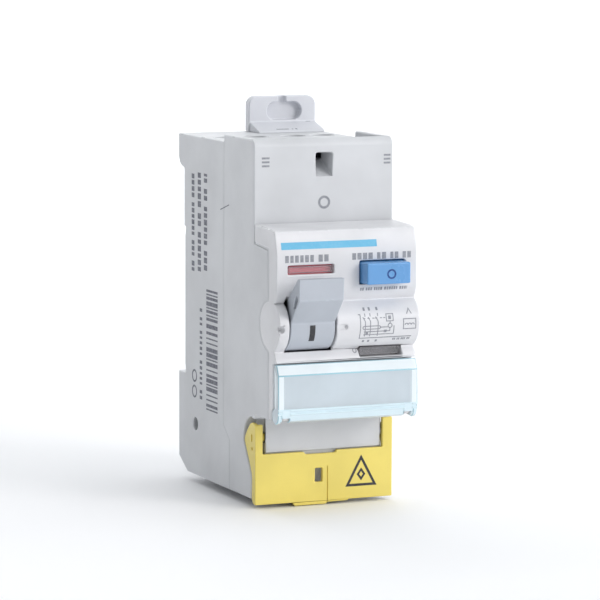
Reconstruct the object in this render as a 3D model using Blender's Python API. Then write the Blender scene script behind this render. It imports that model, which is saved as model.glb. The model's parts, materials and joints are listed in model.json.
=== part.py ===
"""Two-module residual current device for a 35 mm rail.

Frame: X across the two modules, Y = 0 on the rail's seating plane with +Y towards the wall,
+Z up from the rail's centre line. Lengths below are millimetres and MM turns them into metres.
"""

import math

import bmesh
import bpy
from mathutils import Euler, Matrix, Vector

MM = 0.001
GAP = 0.3  # air left between two pieces that touch

# Case
MODULE = 17.5
HALF = MODULE  # half of the two-module width
WALL = 1.6
INNER = HALF - WALL
TOP = 40.1
RIM_TOP = 41.7
RIM_WALL = 1.5
RIM_RADIUS = 2.0
BOTTOM = -42.0
SHOULDER = -44.0  # front of both shoulders
SEAM = -25.4  # joint between the rear base and the front housing
LOW_SEAM = -29.1
BACK = 4.3
UPPER_BACK = 0.6
RAIL_HALF = 17.8  # half height of the rail recess
SEAT_HALF = 15.8  # half height of the raised seat that the rail's lips rest on
SEAT_RELIEF = 0.4
FLOOR = -1.6  # inner face of the rail recess wall
ROUND = 32

# Nose
NOSE_TOP = 17.8
NOSE_BOTTOM = -22.0
NOSE_EDGE = -52.6  # front edge of the housing's nose walls
COVER_EDGE = -52.9  # rear edge of the fascia
AXIS = (-53.3, -0.2)  # toggle axis and centre of the barrel bulge
BARREL = 6.2
BARREL_WALL = 1.5
LOBE = 5.7  # rounded bearing lobe of the fascia
WEB = 5.2  # bearing webs beside the toggle
BARREL_UP = 61.8
BARREL_DOWN = 65.9

# Toggle and contact mechanism
TOGGLE_X = (-14.6, -3.6)
SLOT_X = (-15.0, -3.2)
DRUM = 5.85
SHAFT = 1.5
CRANK = 4.0
CRANK_ANGLE = -38.0
CARRIER = (-31.0, -3.0)
LEVER_END = (-40.0, -6.0)
LINK_X = (-9.6, -8.6)
POLE_X = 8.75
PIN = 0.6

# Terminals
TERMINAL_X = 8.4
SCREW_Z = -36.0
ACCESS = 3.6

# Shutter, label flap, clip, button
SHUTTER_AXIS = (-42.6, -27.6)
SHUTTER_SWEEP = 4.9
SHUTTER_TOP = -31.3
FLAP_AXIS = (-56.5, -20.6)
FLAP_KNUCKLE = 1.8
BUTTON_X = (3.4, 14.2)
BUTTON_Z = (9.2, 14.1)
CLIP_X = (3.9, 13.7)
CLIP_TAB_X = (0.3, 17.3)

# Trip parts
TRIP_AXIS = (-46.5, -9.5)
RELAY_Z = -15.0
RELAY_X = 3.0
TOROID_Y = -14.0

COLOURS = {
    "shell": ((0.62, 0.65, 0.67), 0.45, 0.0),
    "cover": ((0.74, 0.75, 0.78), 0.40, 0.0),
    "toggle": ((0.49, 0.54, 0.58), 0.40, 0.0),
    "blue": ((0.06, 0.30, 0.75), 0.35, 0.0),
    "yellow": ((0.90, 0.72, 0.12), 0.45, 0.0),
    "clear": ((0.70, 0.82, 0.88), 0.10, 0.0),
    "white": ((0.85, 0.86, 0.88), 0.60, 0.0),
    "red": ((0.50, 0.10, 0.13), 0.40, 0.0),
    "dark": ((0.08, 0.08, 0.09), 0.50, 0.0),
    "green": ((0.03, 0.20, 0.09), 0.55, 0.0),
    "brown": ((0.30, 0.16, 0.07), 0.50, 0.0),
    "copper": ((0.75, 0.36, 0.20), 0.30, 1.0),
    "brass": ((0.72, 0.55, 0.26), 0.30, 1.0),
    "steel": ((0.55, 0.56, 0.58), 0.30, 1.0),
    "ferrite": ((0.10, 0.10, 0.11), 0.55, 0.0),
}


def clear_scene():
    for old in list(bpy.data.objects):
        bpy.data.objects.remove(old, do_unlink=True)


def new_collection(name):
    collection = bpy.data.collections.new(name)
    bpy.context.scene.collection.children.link(collection)
    return collection


clear_scene()
PARTS = new_collection("residual_current_device")
CUTTERS = new_collection("cutters")


def material(name, kind):
    colour, roughness, metallic = COLOURS[kind]
    made = bpy.data.materials.new(name)
    made.use_nodes = True
    shader = made.node_tree.nodes["Principled BSDF"]
    shader.inputs["Base Color"].default_value = (*colour, 1.0)
    shader.inputs["Roughness"].default_value = roughness
    shader.inputs["Metallic"].default_value = metallic
    return made


def mesh_object(name, bm):
    """A new object at the world origin that holds the bmesh, its faces pointing out."""
    bmesh.ops.recalc_face_normals(bm, faces=bm.faces)
    mesh = bpy.data.meshes.new(name)
    bm.to_mesh(mesh)
    bm.free()
    made = bpy.data.objects.new(name, mesh)
    CUTTERS.objects.link(made)
    return made


def box(x, y, z, name="block"):
    bm = bmesh.new()
    bmesh.ops.create_cube(bm, size=1.0)
    size = [(high - low) * MM for low, high in (x, y, z)]
    centre = [(high + low) / 2 * MM for low, high in (x, y, z)]
    bmesh.ops.transform(bm, verts=bm.verts, matrix=Matrix.Translation(centre) @ Matrix.Diagonal((*size, 1.0)))
    return mesh_object(name, bm)


def rod(axis, centre, radius, span, name="rod", end_radius=None, sides=ROUND):
    """A cylinder or cone along X, Y or Z. centre holds the other two coordinates, in axis order."""
    bm = bmesh.new()
    low, high = span
    far = radius if end_radius is None else end_radius
    bmesh.ops.create_cone(
        bm,
        cap_ends=True,
        segments=sides,
        radius1=radius * MM,
        radius2=far * MM,
        depth=(high - low) * MM,
    )
    middle = (high + low) / 2
    if axis == "X":
        turn = Euler((0, math.pi / 2, 0)).to_matrix().to_4x4()
        place = (middle, centre[0], centre[1])
    elif axis == "Y":
        turn = Euler((-math.pi / 2, 0, 0)).to_matrix().to_4x4()
        place = (centre[0], middle, centre[1])
    else:
        turn = Matrix.Identity(4)
        place = (centre[0], centre[1], middle)
    bmesh.ops.transform(bm, verts=bm.verts, matrix=Matrix.Translation(Vector(place) * MM) @ turn)
    return mesh_object(name, bm)


def curve_to_mesh(holder):
    """The evaluated curve as a welded mesh object in the same place. The curve is removed."""
    bpy.context.view_layer.update()
    mesh = bpy.data.meshes.new_from_object(holder.evaluated_get(bpy.context.evaluated_depsgraph_get()))
    mesh.transform(holder.matrix_world)
    name = holder.name
    data = holder.data
    bpy.data.objects.remove(holder, do_unlink=True)
    bpy.data.curves.remove(data)
    bm = bmesh.new()
    bm.from_mesh(mesh)
    bpy.data.meshes.remove(mesh)
    bmesh.ops.remove_doubles(bm, verts=bm.verts, dist=1e-6)
    return mesh_object(name, bm)


def plate(plane, points, span, name="plate"):
    """A flat outline in the YZ, XZ or XY plane, as thick as span along the third axis."""
    low, high = span
    curve = bpy.data.curves.new(name, "CURVE")
    curve.dimensions = "2D"
    curve.fill_mode = "BOTH"
    curve.extrude = (high - low) / 2
    spline = curve.splines.new("POLY")
    spline.points.add(len(points) - 1)
    for point, (u, v) in zip(spline.points, points):
        point.co = (u, v, 0.0, 1.0)
    spline.use_cyclic_u = True
    holder = bpy.data.objects.new(name, curve)
    CUTTERS.objects.link(holder)
    holder.scale = (MM, MM, MM)
    middle = (high + low) / 2 * MM
    quarter = math.pi / 2
    if plane == "YZ":
        holder.rotation_euler = (quarter, 0, quarter)
        holder.location = (middle, 0, 0)
    elif plane == "XZ":
        holder.rotation_euler = (quarter, 0, 0)
        holder.location = (0, middle, 0)
    else:
        holder.location = (0, 0, middle)
    return curve_to_mesh(holder)


def wire(points, radius, name="wire"):
    """A round wire through points given in millimetres."""
    curve = bpy.data.curves.new(name, "CURVE")
    curve.dimensions = "3D"
    curve.bevel_depth = radius * MM
    curve.bevel_resolution = 1
    curve.use_fill_caps = True
    spline = curve.splines.new("POLY")
    spline.points.add(len(points) - 1)
    for point, place in zip(spline.points, points):
        point.co = (*(c * MM for c in place), 1.0)
    holder = bpy.data.objects.new(name, curve)
    CUTTERS.objects.link(holder)
    return curve_to_mesh(holder)


def arc(centre, radius, start, end, steps):
    """Points on a circle, angles in degrees, counted from the first axis to the second."""
    points = []
    for step in range(steps + 1):
        angle = math.radians(start + (end - start) * step / steps)
        points.append((centre[0] + radius * math.cos(angle), centre[1] + radius * math.sin(angle)))
    return points


def ribbon(points, thickness):
    """The closed outline of a bent strip that follows the points."""
    left = []
    right = []
    for index, point in enumerate(points):
        before = Vector(points[max(index - 1, 0)])
        after = Vector(points[min(index + 1, len(points) - 1)])
        here = Vector(point)
        first = (here - before).normalized() if index else (after - here).normalized()
        second = (after - here).normalized() if index < len(points) - 1 else first
        normal = Vector((-(first + second).y, (first + second).x)).normalized()
        reach = thickness / 2 / max(normal.dot(Vector((-first.y, first.x))), 0.5)
        left.append(tuple(here + normal * reach))
        right.append(tuple(here - normal * reach))
    return left + right[::-1]


def smooth_route(points, steps):
    """Points on a Catmull-Rom curve through the given places."""
    places = [Vector(p) for p in points]
    ends = [places[0] * 2 - places[1]] + places + [places[-1] * 2 - places[-2]]
    route = []
    for index in range(len(places) - 1):
        a, b, c, d = ends[index:index + 4]
        for step in range(steps):
            t = step / steps
            route.append(
                0.5 * (2 * b + (c - a) * t + (2 * a - 5 * b + 4 * c - d) * t * t + (3 * b - a - 3 * c + d) * t ** 3)
            )
    route.append(places[-1])
    return [tuple(p) for p in route]


def mirrored(points):
    return [(-u, v) for u, v in points]


def boolean(target, tool, operation):
    tool.hide_render = True
    tool.display_type = "WIRE"
    modifier = target.modifiers.new(operation.lower(), "BOOLEAN")
    modifier.operation = operation
    modifier.solver = "EXACT"
    modifier.object = tool


def cut(target, *tools):
    for tool in tools:
        boolean(target, tool, "DIFFERENCE")


def join(target, *tools):
    for tool in tools:
        boolean(target, tool, "UNION")


def piece(shape, name, kind, origin=None):
    """Names the shape as a part, gives it its material, and puts its origin on its joint's axis."""
    shape.name = name
    shape.data.name = name
    shape.data.materials.append(material(name, kind))
    CUTTERS.objects.unlink(shape)
    PARTS.objects.link(shape)
    if origin is not None:
        place = Vector(origin) * MM
        shape.data.transform(Matrix.Translation(-place))
        shape.location = place
    shape.data.shade_smooth()
    shape.data.set_sharp_from_angle(angle=math.radians(30))
    return shape


def both_sides(low, high):
    """The same span along X on the right and on the left."""
    return (low, high), (-high, -low)


# ---------------------------------------------------------------- case


def rear_base():
    outline = [(BACK, TOP), (BACK, 34.4), (3.6, 33.0), (2.3, 32.2), (UPPER_BACK, 31.9)]
    outline += [(UPPER_BACK, RAIL_HALF), (-SEAT_RELIEF, RAIL_HALF), (-SEAT_RELIEF, SEAT_HALF), (0.0, SEAT_HALF)]
    outline += [(0.0, -SEAT_HALF), (-SEAT_RELIEF, -SEAT_HALF), (-SEAT_RELIEF, -RAIL_HALF), (4.2, -RAIL_HALF)]
    outline += [(4.2, -38.8), (-1.5, BOTTOM), (LOW_SEAM + GAP / 2, BOTTOM), (LOW_SEAM + GAP / 2, -30.2)]
    outline += [(SEAM + GAP / 2, -27.0), (SEAM + GAP / 2, TOP)]
    base = plate("YZ", outline, (-HALF, HALF))
    inside = [(FLOOR, TOP - WALL), (FLOOR, -19.4), (2.6, -19.4), (2.6, -38.0), (-2.0, BOTTOM + WALL)]
    inside += [(-31.0, BOTTOM + WALL), (-31.0, TOP - WALL)]
    cut(base, plate("YZ", inside, (-INNER, INNER)))
    # T-shaped channel of the rail clip, in the right module
    cut(base, box((3.6, 14.0), (UPPER_BACK, 5.0), (31.0, 41.0)))
    cut(base, box((2.7, 14.9), (UPPER_BACK, 2.4), (31.0, 41.0)))
    # Fixed hooks under the rail's lower lip
    for span in both_sides(5.0, 15.0):
        join(base, box(span, (1.4, 4.1), (-19.0, -16.2)))
    # Conductor entries, two push-in holes a pole on top and one screw entry a pole below
    for x in (-12.4, -4.9, 4.9, 12.4):
        cut(base, rod("Z", (x, -14.0), 2.9, (37.5, 41.0)))
    for x in (-TERMINAL_X, TERMINAL_X):
        cut(base, rod("Z", (x, -21.0), 4.4, (-43.0, -39.5)))
    # Accessory hole through both sides
    cut(base, rod("X", (-6.8, -29.5), 1.55, (-HALF - 1, HALF + 1)))
    return piece(base, "rear_base", "shell")


def release_chute():
    """The walled chute behind the square release hole, with a floor that rises inwards."""
    wall = box((-3.4, 3.4), (-42.6, -33.0), (31.4, 38.8))
    hole = [(-45.0, 32.8), (-41.0, 32.8), (-34.0, 36.0), (-32.0, 36.0), (-32.0, 38.3), (-45.0, 38.3)]
    return wall, plate("YZ", hole, (-2.05, 2.1))


def front_housing():
    bite = LOBE + GAP
    lift = math.degrees(math.acos((NOSE_EDGE - AXIS[0]) / bite))
    outline = [(SEAM - GAP / 2, RIM_TOP)]
    outline += arc((SHOULDER + RIM_RADIUS, RIM_TOP - RIM_RADIUS), RIM_RADIUS, 90, 180, 6)
    outline += [(SHOULDER, NOSE_TOP), (-52.1, 17.1)]
    outline += arc(AXIS, bite, lift, -lift, 20)
    outline += [(NOSE_EDGE, NOSE_BOTTOM), (SHOULDER, NOSE_BOTTOM), (SHOULDER, -31.0), (-43.3, -31.0)]
    outline += [(-43.3, BOTTOM), (LOW_SEAM - GAP / 2, BOTTOM), (LOW_SEAM - GAP / 2, -30.1)]
    outline += [(SEAM - GAP / 2, -26.9)]
    housing = plate("YZ", outline, (-HALF, HALF))
    front = SHOULDER + WALL
    inside = [(-25.0, TOP - WALL), (front, TOP - WALL), (front, NOSE_TOP - WALL), (-54.0, NOSE_TOP - WALL)]
    inside += [(-54.0, NOSE_BOTTOM + WALL), (front, NOSE_BOTTOM + WALL), (front, -29.4), (-41.7, -29.4)]
    inside += [(-41.7, BOTTOM + WALL), (-25.0, BOTTOM + WALL)]
    cut(housing, plate("YZ", inside, (-INNER, INNER)))
    # Tray inside the top rim
    cut(housing, box((-HALF + RIM_WALL, HALF - RIM_WALL), (-42.5, -25.0), (TOP, RIM_TOP + 1)))
    wall, hole = release_chute()
    join(housing, wall)
    cut(housing, hole)
    for x in (-TERMINAL_X, TERMINAL_X):
        cut(housing, rod("Y", (x, SCREW_Z), ACCESS, (-45.0, -41.0)))
    shutter_bosses(housing)
    carrier_bearings(housing)
    snap_tongues(housing)
    return piece(housing, "front_housing", "shell")


def shutter_bosses(housing):
    """Thick corners that hold the shutter's pegs, and the recesses for its arms and ears."""
    ear = [(-46.0, -23.4), (-41.9, -23.4), (-37.8, -27.5), (-37.8, -29.2), (-42.2, -36.2)]
    ear += [(-42.1, -43.0), (-46.0, -43.0)]
    for span in both_sides(12.0, 16.6):
        join(housing, box(span, (-43.2, -36.2), (-33.5, -21.5)))
    for span in both_sides(14.8, 16.6):
        join(housing, box(span, (-43.2, -40.9), (-41.0, -33.0)))
    for span in both_sides(14.6, HALF + 1):
        cut(housing, rod("X", SHUTTER_AXIS, SHUTTER_SWEEP, span))
    for span in both_sides(16.4, HALF + 1):
        cut(housing, plate("YZ", ear, span))
    for span in both_sides(13.0, 14.8):
        cut(housing, rod("X", SHUTTER_AXIS, 1.2, span, sides=20))


def carrier_bearings(housing):
    for span in both_sides(14.3, 16.5):
        join(housing, rod("X", CARRIER, 4.2, span))
    for span in both_sides(14.0, 15.6):
        cut(housing, rod("X", CARRIER, 2.1, span))


def snap_tongues(housing):
    """Four tongues that reach inside the rear base's side walls."""
    tongue = [(14.2, -30.0), (16.5, -30.0), (16.5, -25.7), (15.5, -25.7), (15.5, -19.0), (14.2, -19.0)]
    for outline in (tongue, mirrored(tongue)):
        for span in ((18.0, 24.0), (-20.0, -14.0)):
            join(housing, plate("XY", outline, span))


def front_cover():
    outline = [(-44.3, 18.1), (-44.3, 22.3), (-53.2, 22.0), (-56.0, 21.6), (-56.5, 20.3), (-57.5, 16.4)]
    outline += [(-57.6, 8.2), (-57.1, 6.5)]
    outline += arc(AXIS, BARREL, 180 - BARREL_UP, 180 + BARREL_DOWN, 16)
    outline += [(-56.9, -7.2), (-57.3, -8.4), (-55.3, -8.6), (-55.3, -21.9), (COVER_EDGE, -21.9)]
    reach = math.degrees(math.acos((COVER_EDGE - AXIS[0]) / LOBE))
    outline += arc(AXIS, LOBE, -reach, reach, 20)
    outline += [(COVER_EDGE, 17.45)]
    cover = plate("YZ", outline, (-HALF, HALF))
    inside = [(-43.0, 20.7), (-53.0, 20.5), (-54.9, 20.1), (-56.0, 16.2), (-56.1, 8.4), (-55.6, 6.6)]
    inside += arc(AXIS, BARREL - BARREL_WALL, 180 - BARREL_UP, 180 + BARREL_DOWN, 12)
    inside += [(-55.4, -7.0), (-53.8, -8.6), (-53.8, -20.4), (-43.0, -20.4)]
    cut(cover, plate("YZ", inside, (-INNER, INNER)))
    # Bearing webs on both sides of the toggle
    join(cover, rod("X", AXIS, WEB, (-16.2, -15.1), sides=28), rod("X", AXIS, WEB, (-3.1, -1.9), sides=28))
    cut(cover, rod("X", AXIS, SHAFT + GAP, (-16.7, -0.5), sides=24))
    cut(cover, box(SLOT_X, (-62.0, -51.5), (-6.1, 7.1)))
    # Button hole and the two windows
    hole_x = (BUTTON_X[0] - GAP, BUTTON_X[1] + GAP)
    hole_z = (BUTTON_Z[0] - GAP, BUTTON_Z[1] + GAP)
    cut(cover, box(hole_x, (-60.0, -54.0), hole_z))
    cut(cover, box((-14.7, -3.3), (-60.0, -54.0), (11.8, 13.9)))
    cut(cover, box((3.4, 14.2), (-60.0, -52.5), (-7.9, -5.5)))
    # Sealing dimples beside the toggle
    for x in (-16.2, 0.8):
        cut(cover, rod("Y", (x, -0.5), 0.9, (-60.0, -58.4), end_radius=0.3, sides=16))
    flap_lugs(cover)
    return piece(cover, "front_cover", "cover")


def flap_lugs(cover):
    """The groove that the flap's lower edge turns in, and the two lugs that hold its pins."""
    cut(cover, rod("X", FLAP_AXIS, 2.1, (-HALF - 1, HALF + 1)))
    lug = [(-54.1, -19.4), (-57.0, -19.4), (-57.7, -20.2), (-57.7, -21.0), (-57.0, -21.7), (-54.1, -21.7)]
    for span in both_sides(14.6, 15.9):
        join(cover, plate("YZ", lug, span))
    for span in both_sides(14.0, 16.4):
        cut(cover, rod("X", FLAP_AXIS, 0.95, span, sides=16))


# ---------------------------------------------------------------- front pieces


def crank_pin():
    angle = math.radians(CRANK_ANGLE)
    return (AXIS[0] + CRANK * math.cos(angle), AXIS[1] + CRANK * math.sin(angle))


def toggle():
    rise = math.degrees(math.acos((-59.05 - AXIS[0]) / -DRUM))
    outline = arc(AXIS, DRUM, 180 - rise, 475, 40)
    outline += [(-63.1, 11.8), (-64.0, 11.4), (-63.9, 6.5)]
    lever = plate("YZ", outline, TOGGLE_X)
    cut(lever, rod("X", AXIS, SHAFT + GAP, (-16.0, -2.0), sides=24))
    # Slot and cross hole for the link
    cut(lever, box((LINK_X[0] - 0.8, LINK_X[1] + 0.8), (-52.6, -46.0), (-7.0, -1.2)))
    cut(lever, rod("X", crank_pin(), PIN + GAP, (-11.9, -6.3), sides=16))
    piece(lever, "toggle", "toggle", (0.0, *AXIS))
    shaft = rod("X", AXIS, SHAFT, (-16.4, 1.4), sides=24)
    piece(shaft, "toggle_shaft", "steel", (0.0, *AXIS))
    spring = coil((-1.3, 0.9), AXIS, 2.3, 0.3, 4, arm=3.0)
    piece(spring, "toggle_spring", "steel", (0.0, *AXIS))


def coil(span, centre, radius, thickness, turns, arm):
    """A torsion spring around an X axis, one arm leaving each end along a tangent."""
    steps = 14
    low, high = span
    points = [(low, centre[0] - radius, centre[1] - arm)]
    for step in range(turns * steps + 1):
        angle = math.pi + 2 * math.pi * step / steps
        x = low + (high - low) * step / (turns * steps)
        points.append((x, centre[0] + radius * math.cos(angle), centre[1] + radius * math.sin(angle)))
    points.append((high, centre[0] - radius, centre[1] + arm))
    return wire(points, thickness)


def toggle_link():
    start = Vector(crank_pin())
    end = Vector(LEVER_END)
    along = (end - start).normalized()
    side = Vector((-along.y, along.x)) * 1.0
    outline = [start + side, start - side, end - side, end + side]
    link = plate("YZ", [tuple(p) for p in outline], LINK_X)
    join(link, rod("X", tuple(start), 1.2, LINK_X, sides=16), rod("X", tuple(end), 1.2, LINK_X, sides=16))
    join(link, rod("X", tuple(start), PIN, (-11.6, -6.6), sides=12))
    join(link, rod("X", tuple(end), PIN, (-13.4, LINK_X[0] + 0.5), sides=12))
    piece(link, "toggle_link", "steel", (0.0, *crank_pin()))


def windows_and_flags():
    lens = box((-14.4, -3.6), (-57.3, -56.3), (12.1, 13.6))
    piece(lens, "contact_window_lens", "clear")
    lens = box((3.7, 13.9), (-56.2, -55.4), (-7.6, -5.8))
    piece(lens, "fault_window_lens", "clear")
    flag = box((-14.8, -3.2), (-54.8, -54.0), (8.8, 14.6))
    piece(flag, "contact_flag", "red")
    flag = box((3.2, 14.4), (-53.4, -52.7), (-10.8, -5.2))
    join(flag, box((7.0, 10.6), (-53.1, -50.6), (-10.8, -9.8)))
    piece(flag, "fault_flag", "green")


def test_button():
    cap = box(BUTTON_X, (-61.3, -55.4), BUTTON_Z)
    # Shoulder that keeps the button behind the fascia, and the stem towards the test contact
    join(cap, box((2.6, 15.0), (-55.8, -54.8), (8.65, 14.9)))
    join(cap, rod("Y", (8.8, 11.65), 1.4, (-55.0, -51.5), sides=20))
    piece(cap, "test_button", "blue", (8.8, -61.3, 11.65))


def label_flap():
    outline = [(-56.0, -8.9), (-57.3, -8.7), (-58.5, -11.1), (-58.5, -18.7), (-58.0, -20.8)]
    outline += arc(FLAP_AXIS, FLAP_KNUCKLE - 0.25, 215, 300, 6)
    outline += [(-56.0, -21.2), (-56.8, -19.6), (-57.3, -18.5), (-57.3, -11.4), (-56.1, -9.3)]
    flap = plate("YZ", outline, (-HALF + 0.1, HALF - 0.1))
    for span in both_sides(14.3, 16.2):
        cut(flap, box(span, (-59.0, -55.0), (-23.0, -19.0)))
    for span in both_sides(16.5, HALF - 0.2):
        join(flap, rod("X", FLAP_AXIS, FLAP_KNUCKLE, span, sides=24))
    for span in both_sides(13.1, 14.2):
        join(flap, rod("X", FLAP_AXIS, 1.2, span, sides=18))
    for span in both_sides(13.6, 16.8):
        join(flap, rod("X", FLAP_AXIS, 0.65, span, sides=14))
    piece(flap, "label_flap", "clear", (0.0, *FLAP_AXIS))
    card = box((-15.4, 15.4), (-55.9, -55.6), (-18.1, -9.3))
    piece(card, "label_card", "white")


def terminal_shutter():
    shutter = box((-17.2, 17.2), (-44.8, -43.6), (-43.1, SHUTTER_TOP))
    arm = (-44.75, -43.65)
    join(shutter, box((-17.15, -15.5), arm, (-32.0, -24.3)), box((14.9, 17.15), arm, (-32.0, -24.3)))
    lip = [(-8.2, -42.5), (-7.4, -43.9), (0.4, -43.9), (1.0, -43.45), (6.0, -43.4), (6.6, -42.5)]
    join(shutter, plate("XZ", lip, arm))
    cut(shutter, box((-5.0, 3.5), (-46.0, -43.0), (-31.9, -30.0)))
    ear = [(-44.7, -24.4), (-42.0, -24.0), (-38.3, -27.7), (-38.3, -28.9), (-42.8, -36.0), (-42.6, -41.9)]
    ear += [(-43.2, -42.9), (-44.7, -43.0)]
    for span in both_sides(16.7, 17.4):
        join(shutter, plate("YZ", ear, span))
    for span in both_sides(13.4, 17.0):
        join(shutter, rod("X", SHUTTER_AXIS, 0.9, span, sides=16))
    cut(shutter, box((-2.3, -0.4), (-46.0, -43.0), (-38.6, -35.3)))
    cut(shutter, box((0.65, 0.95), (-46.0, -44.55), (-44.5, -34.9)))
    piece(shutter, "terminal_shutter", "yellow", (0.0, *SHUTTER_AXIS))


def din_clip():
    low, high = CLIP_TAB_X
    top = 48.7
    tab = [(low, 40.4), (high, 40.4)]
    tab += arc((high - 2.0, top - 2.0), 2.0, 0, 90, 5) + arc((low + 2.0, top - 2.0), 2.0, 90, 180, 5)
    clip = plate("XZ", tab, (1.7, BACK + 0.1))
    # Tool pocket with a notch through its top rim
    cut(clip, box((4.7, 14.4), (1.0, 3.6), (42.8, 47.2)), box((8.3, 10.4), (1.0, 3.6), (46.0, 50.0)))
    ramp = [(1.9, 42.4), (-3.5, 40.7), (-3.5, 40.4), (1.9, 40.4)]
    join(clip, plate("YZ", ramp, (low + 0.6, high - 0.6)))
    # Shank in the base's T channel, and the hook over the rail's upper lip
    join(clip, box(CLIP_X, (0.9, BACK), (17.9, 41.0)))
    join(clip, box((3.0, 14.6), (0.9, 2.1), (18.4, 41.0)))
    join(clip, box(CLIP_X, (1.4, BACK), (16.2, 18.2)))
    piece(clip, "din_clip", "white", (8.8, 2.6, 17.9))


# ---------------------------------------------------------------- mechanism


def contact_carrier():
    bar = rod("X", CARRIER, 3.0, (-13.9, 13.9))
    join(bar, rod("X", CARRIER, 1.8, (-15.2, 15.2), sides=20))
    lever = [(-30.0, -5.3), (-39.5, -9.37)] + arc(LEVER_END, 3.4, 255, 90, 12) + [(-30.0, -0.9)]
    join(bar, plate("YZ", lever, (-13.0, -11.0)))
    cut(bar, rod("X", (LEVER_END[0] + 0.5, LEVER_END[1]), 2.3, (-13.6, -10.6), sides=24))
    for x in (-POLE_X, POLE_X):
        join(bar, box((x - 3.2, x + 3.2), (-34.0, -28.8), (-3.0, 5.0)))
        cut(bar, box((x - 2.5, x + 2.5), (-32.3, -30.5), (1.2, 6.0)))
    piece(bar, "contact_carrier", "dark", (0.0, *CARRIER))
    spring = coil((-5.4, -2.4), CARRIER, 3.7, 0.35, 5, arm=5.6)
    piece(spring, "main_spring", "steel", (0.0, *CARRIER))


def pole(side, x):
    """The current path's pieces for one pole."""
    arm = box((x - 2.2, x + 2.2), (-32.0, -30.8), (1.5, 13.0))
    join(arm, rod("Y", (x, 11.3), 1.6, (-33.2, -31.5), sides=20))
    piece(arm, "moving_contact_" + side, "copper", (0.0, *CARRIER))
    path = [(-8.3, 36.0), (-8.3, 25.6), (-34.6, 25.6), (-34.6, 8.2)]
    strap = plate("YZ", ribbon(path, 1.2), (x - 2.5, x + 2.5))
    join(strap, rod("Y", (x, 11.3), 1.6, (-34.5, -33.5), sides=20))
    piece(strap, "upper_conductor_" + side, "copper")
    bend = [(-24.3, 27.0), (-24.3, 35.0)] + arc((-22.7, 35.0), 1.6, 160, 20, 6) + [(-21.1, 34.6), (-11.4, 30.0)]
    clamp = plate("YZ", ribbon(bend, 0.6), (x - 3.2, x + 3.2))
    piece(clamp, "upper_clamp_spring_" + side, "steel")
    sign = 1 if x > 0 else -1
    route = [(sign * POLE_X, -25.4, -5.6), (sign * 6.0, -20.5, -6.6), (sign * 2.1, -14.6, -8.6)]
    route += [(sign * 2.0, TOROID_Y, -12.0), (sign * 2.0, TOROID_Y, -20.0), (sign * 3.4, -17.0, -25.4)]
    route += [(sign * TERMINAL_X, -25.6, -28.6), (sign * TERMINAL_X, -26.9, -31.2)]
    piece(wire(smooth_route(route, 3), 1.15), "primary_conductor_" + side, "copper")


def terminal(side, x):
    """The lower screw terminal of one pole: screw, rising cage and fixed plate."""
    screw = rod("Y", (x, SCREW_Z), 3.2, (-39.6, -36.6), sides=24)
    join(screw, rod("Y", (x, SCREW_Z), 2.0, (-37.0, -30.2), sides=20))
    cut(screw, box((x - 2.4, x + 2.4), (-40.0, -38.2), (SCREW_Z - 0.45, SCREW_Z + 0.45)))
    cut(screw, box((x - 0.45, x + 0.45), (-40.0, -38.2), (SCREW_Z - 2.4, SCREW_Z + 2.4)))
    piece(screw, "terminal_screw_" + side, "steel", (x, -39.6, SCREW_Z))
    cage = box((x - 4.4, x + 4.4), (-35.0, -19.0), (-39.8, -32.2))
    cut(cage, box((x - 3.2, x + 3.2), (-33.8, -20.2), (-41.0, -31.0)))
    cut(cage, rod("Y", (x, SCREW_Z), 2.3, (-36.0, -33.0), sides=20))
    piece(cage, "terminal_cage_" + side, "brass", (x, -35.0, SCREW_Z))
    strip = box((x - 2.9, x + 2.9), (-29.6, -28.4), (-39.9, -29.2))
    piece(strip, "terminal_plate_" + side, "copper")


def pole_barrier():
    outline = [(-2.2, 38.0), (-32.4, 38.0), (-32.4, 31.0), (-42.0, 31.0), (-42.0, -7.5), (-2.2, -7.5)]
    barrier = plate("YZ", outline, (-0.75, 0.75))
    cut(barrier, rod("X", CARRIER, 3.4, (-2.0, 2.0)))
    piece(barrier, "pole_barrier", "white")


def ring(centre, inner, outer, span):
    """A flat ring about a vertical axis."""
    body = rod("Z", centre, outer, span, sides=40)
    return body, rod("Z", centre, inner, (span[0] - 1, span[1] + 1), sides=32)


def toroid():
    centre = (0.0, TOROID_Y)
    core, hole = ring(centre, 5.2, 8.2, (-20.0, -12.0))
    cut(core, hole)
    piece(core, "toroid_core", "ferrite")
    winding, hole = ring(centre, 4.0, 9.5, (-21.2, -10.8))
    cut(winding, hole)
    hollow, keep = ring(centre, 4.9, 8.6, (-20.4, -11.6))
    cut(hollow, keep)
    cut(winding, hollow)
    # The winding leaves a sector of the core bare towards the back
    cut(winding, box((-2.2, 2.2), (TOROID_Y + 3.0, TOROID_Y + 11.0), (-23.0, -9.0)))
    piece(winding, "toroid_winding", "brown")


def trip_parts():
    relay = box((-7.0, 7.0), (-41.0, -28.2), (-21.0, -9.5))
    cut(relay, rod("Y", (RELAY_X, RELAY_Z), 1.4, (-42.0, -34.5), sides=20))
    piece(relay, "relay_housing", "dark")
    plunger = rod("Y", (RELAY_X, RELAY_Z), 1.1, (-43.6, -36.0), sides=20)
    piece(plunger, "relay_plunger", "brass", (RELAY_X, -43.6, RELAY_Z))
    outline = [(-48.0, -11.2), (-46.2, -17.0), (-44.1, -17.0), (-44.3, -11.5), (-44.8, -4.6), (-46.4, -4.6)]
    outline += [(-48.0, -8.0)]
    lever = plate("YZ", outline, (0.6, 5.4))
    cut(lever, rod("X", TRIP_AXIS, 0.95, (0.0, 6.0), sides=20))
    piece(lever, "trip_lever", "white", (0.0, *TRIP_AXIS))
    piece(rod("X", TRIP_AXIS, 0.65, (-15.5, 15.5), sides=16), "trip_shaft", "steel")


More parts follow.
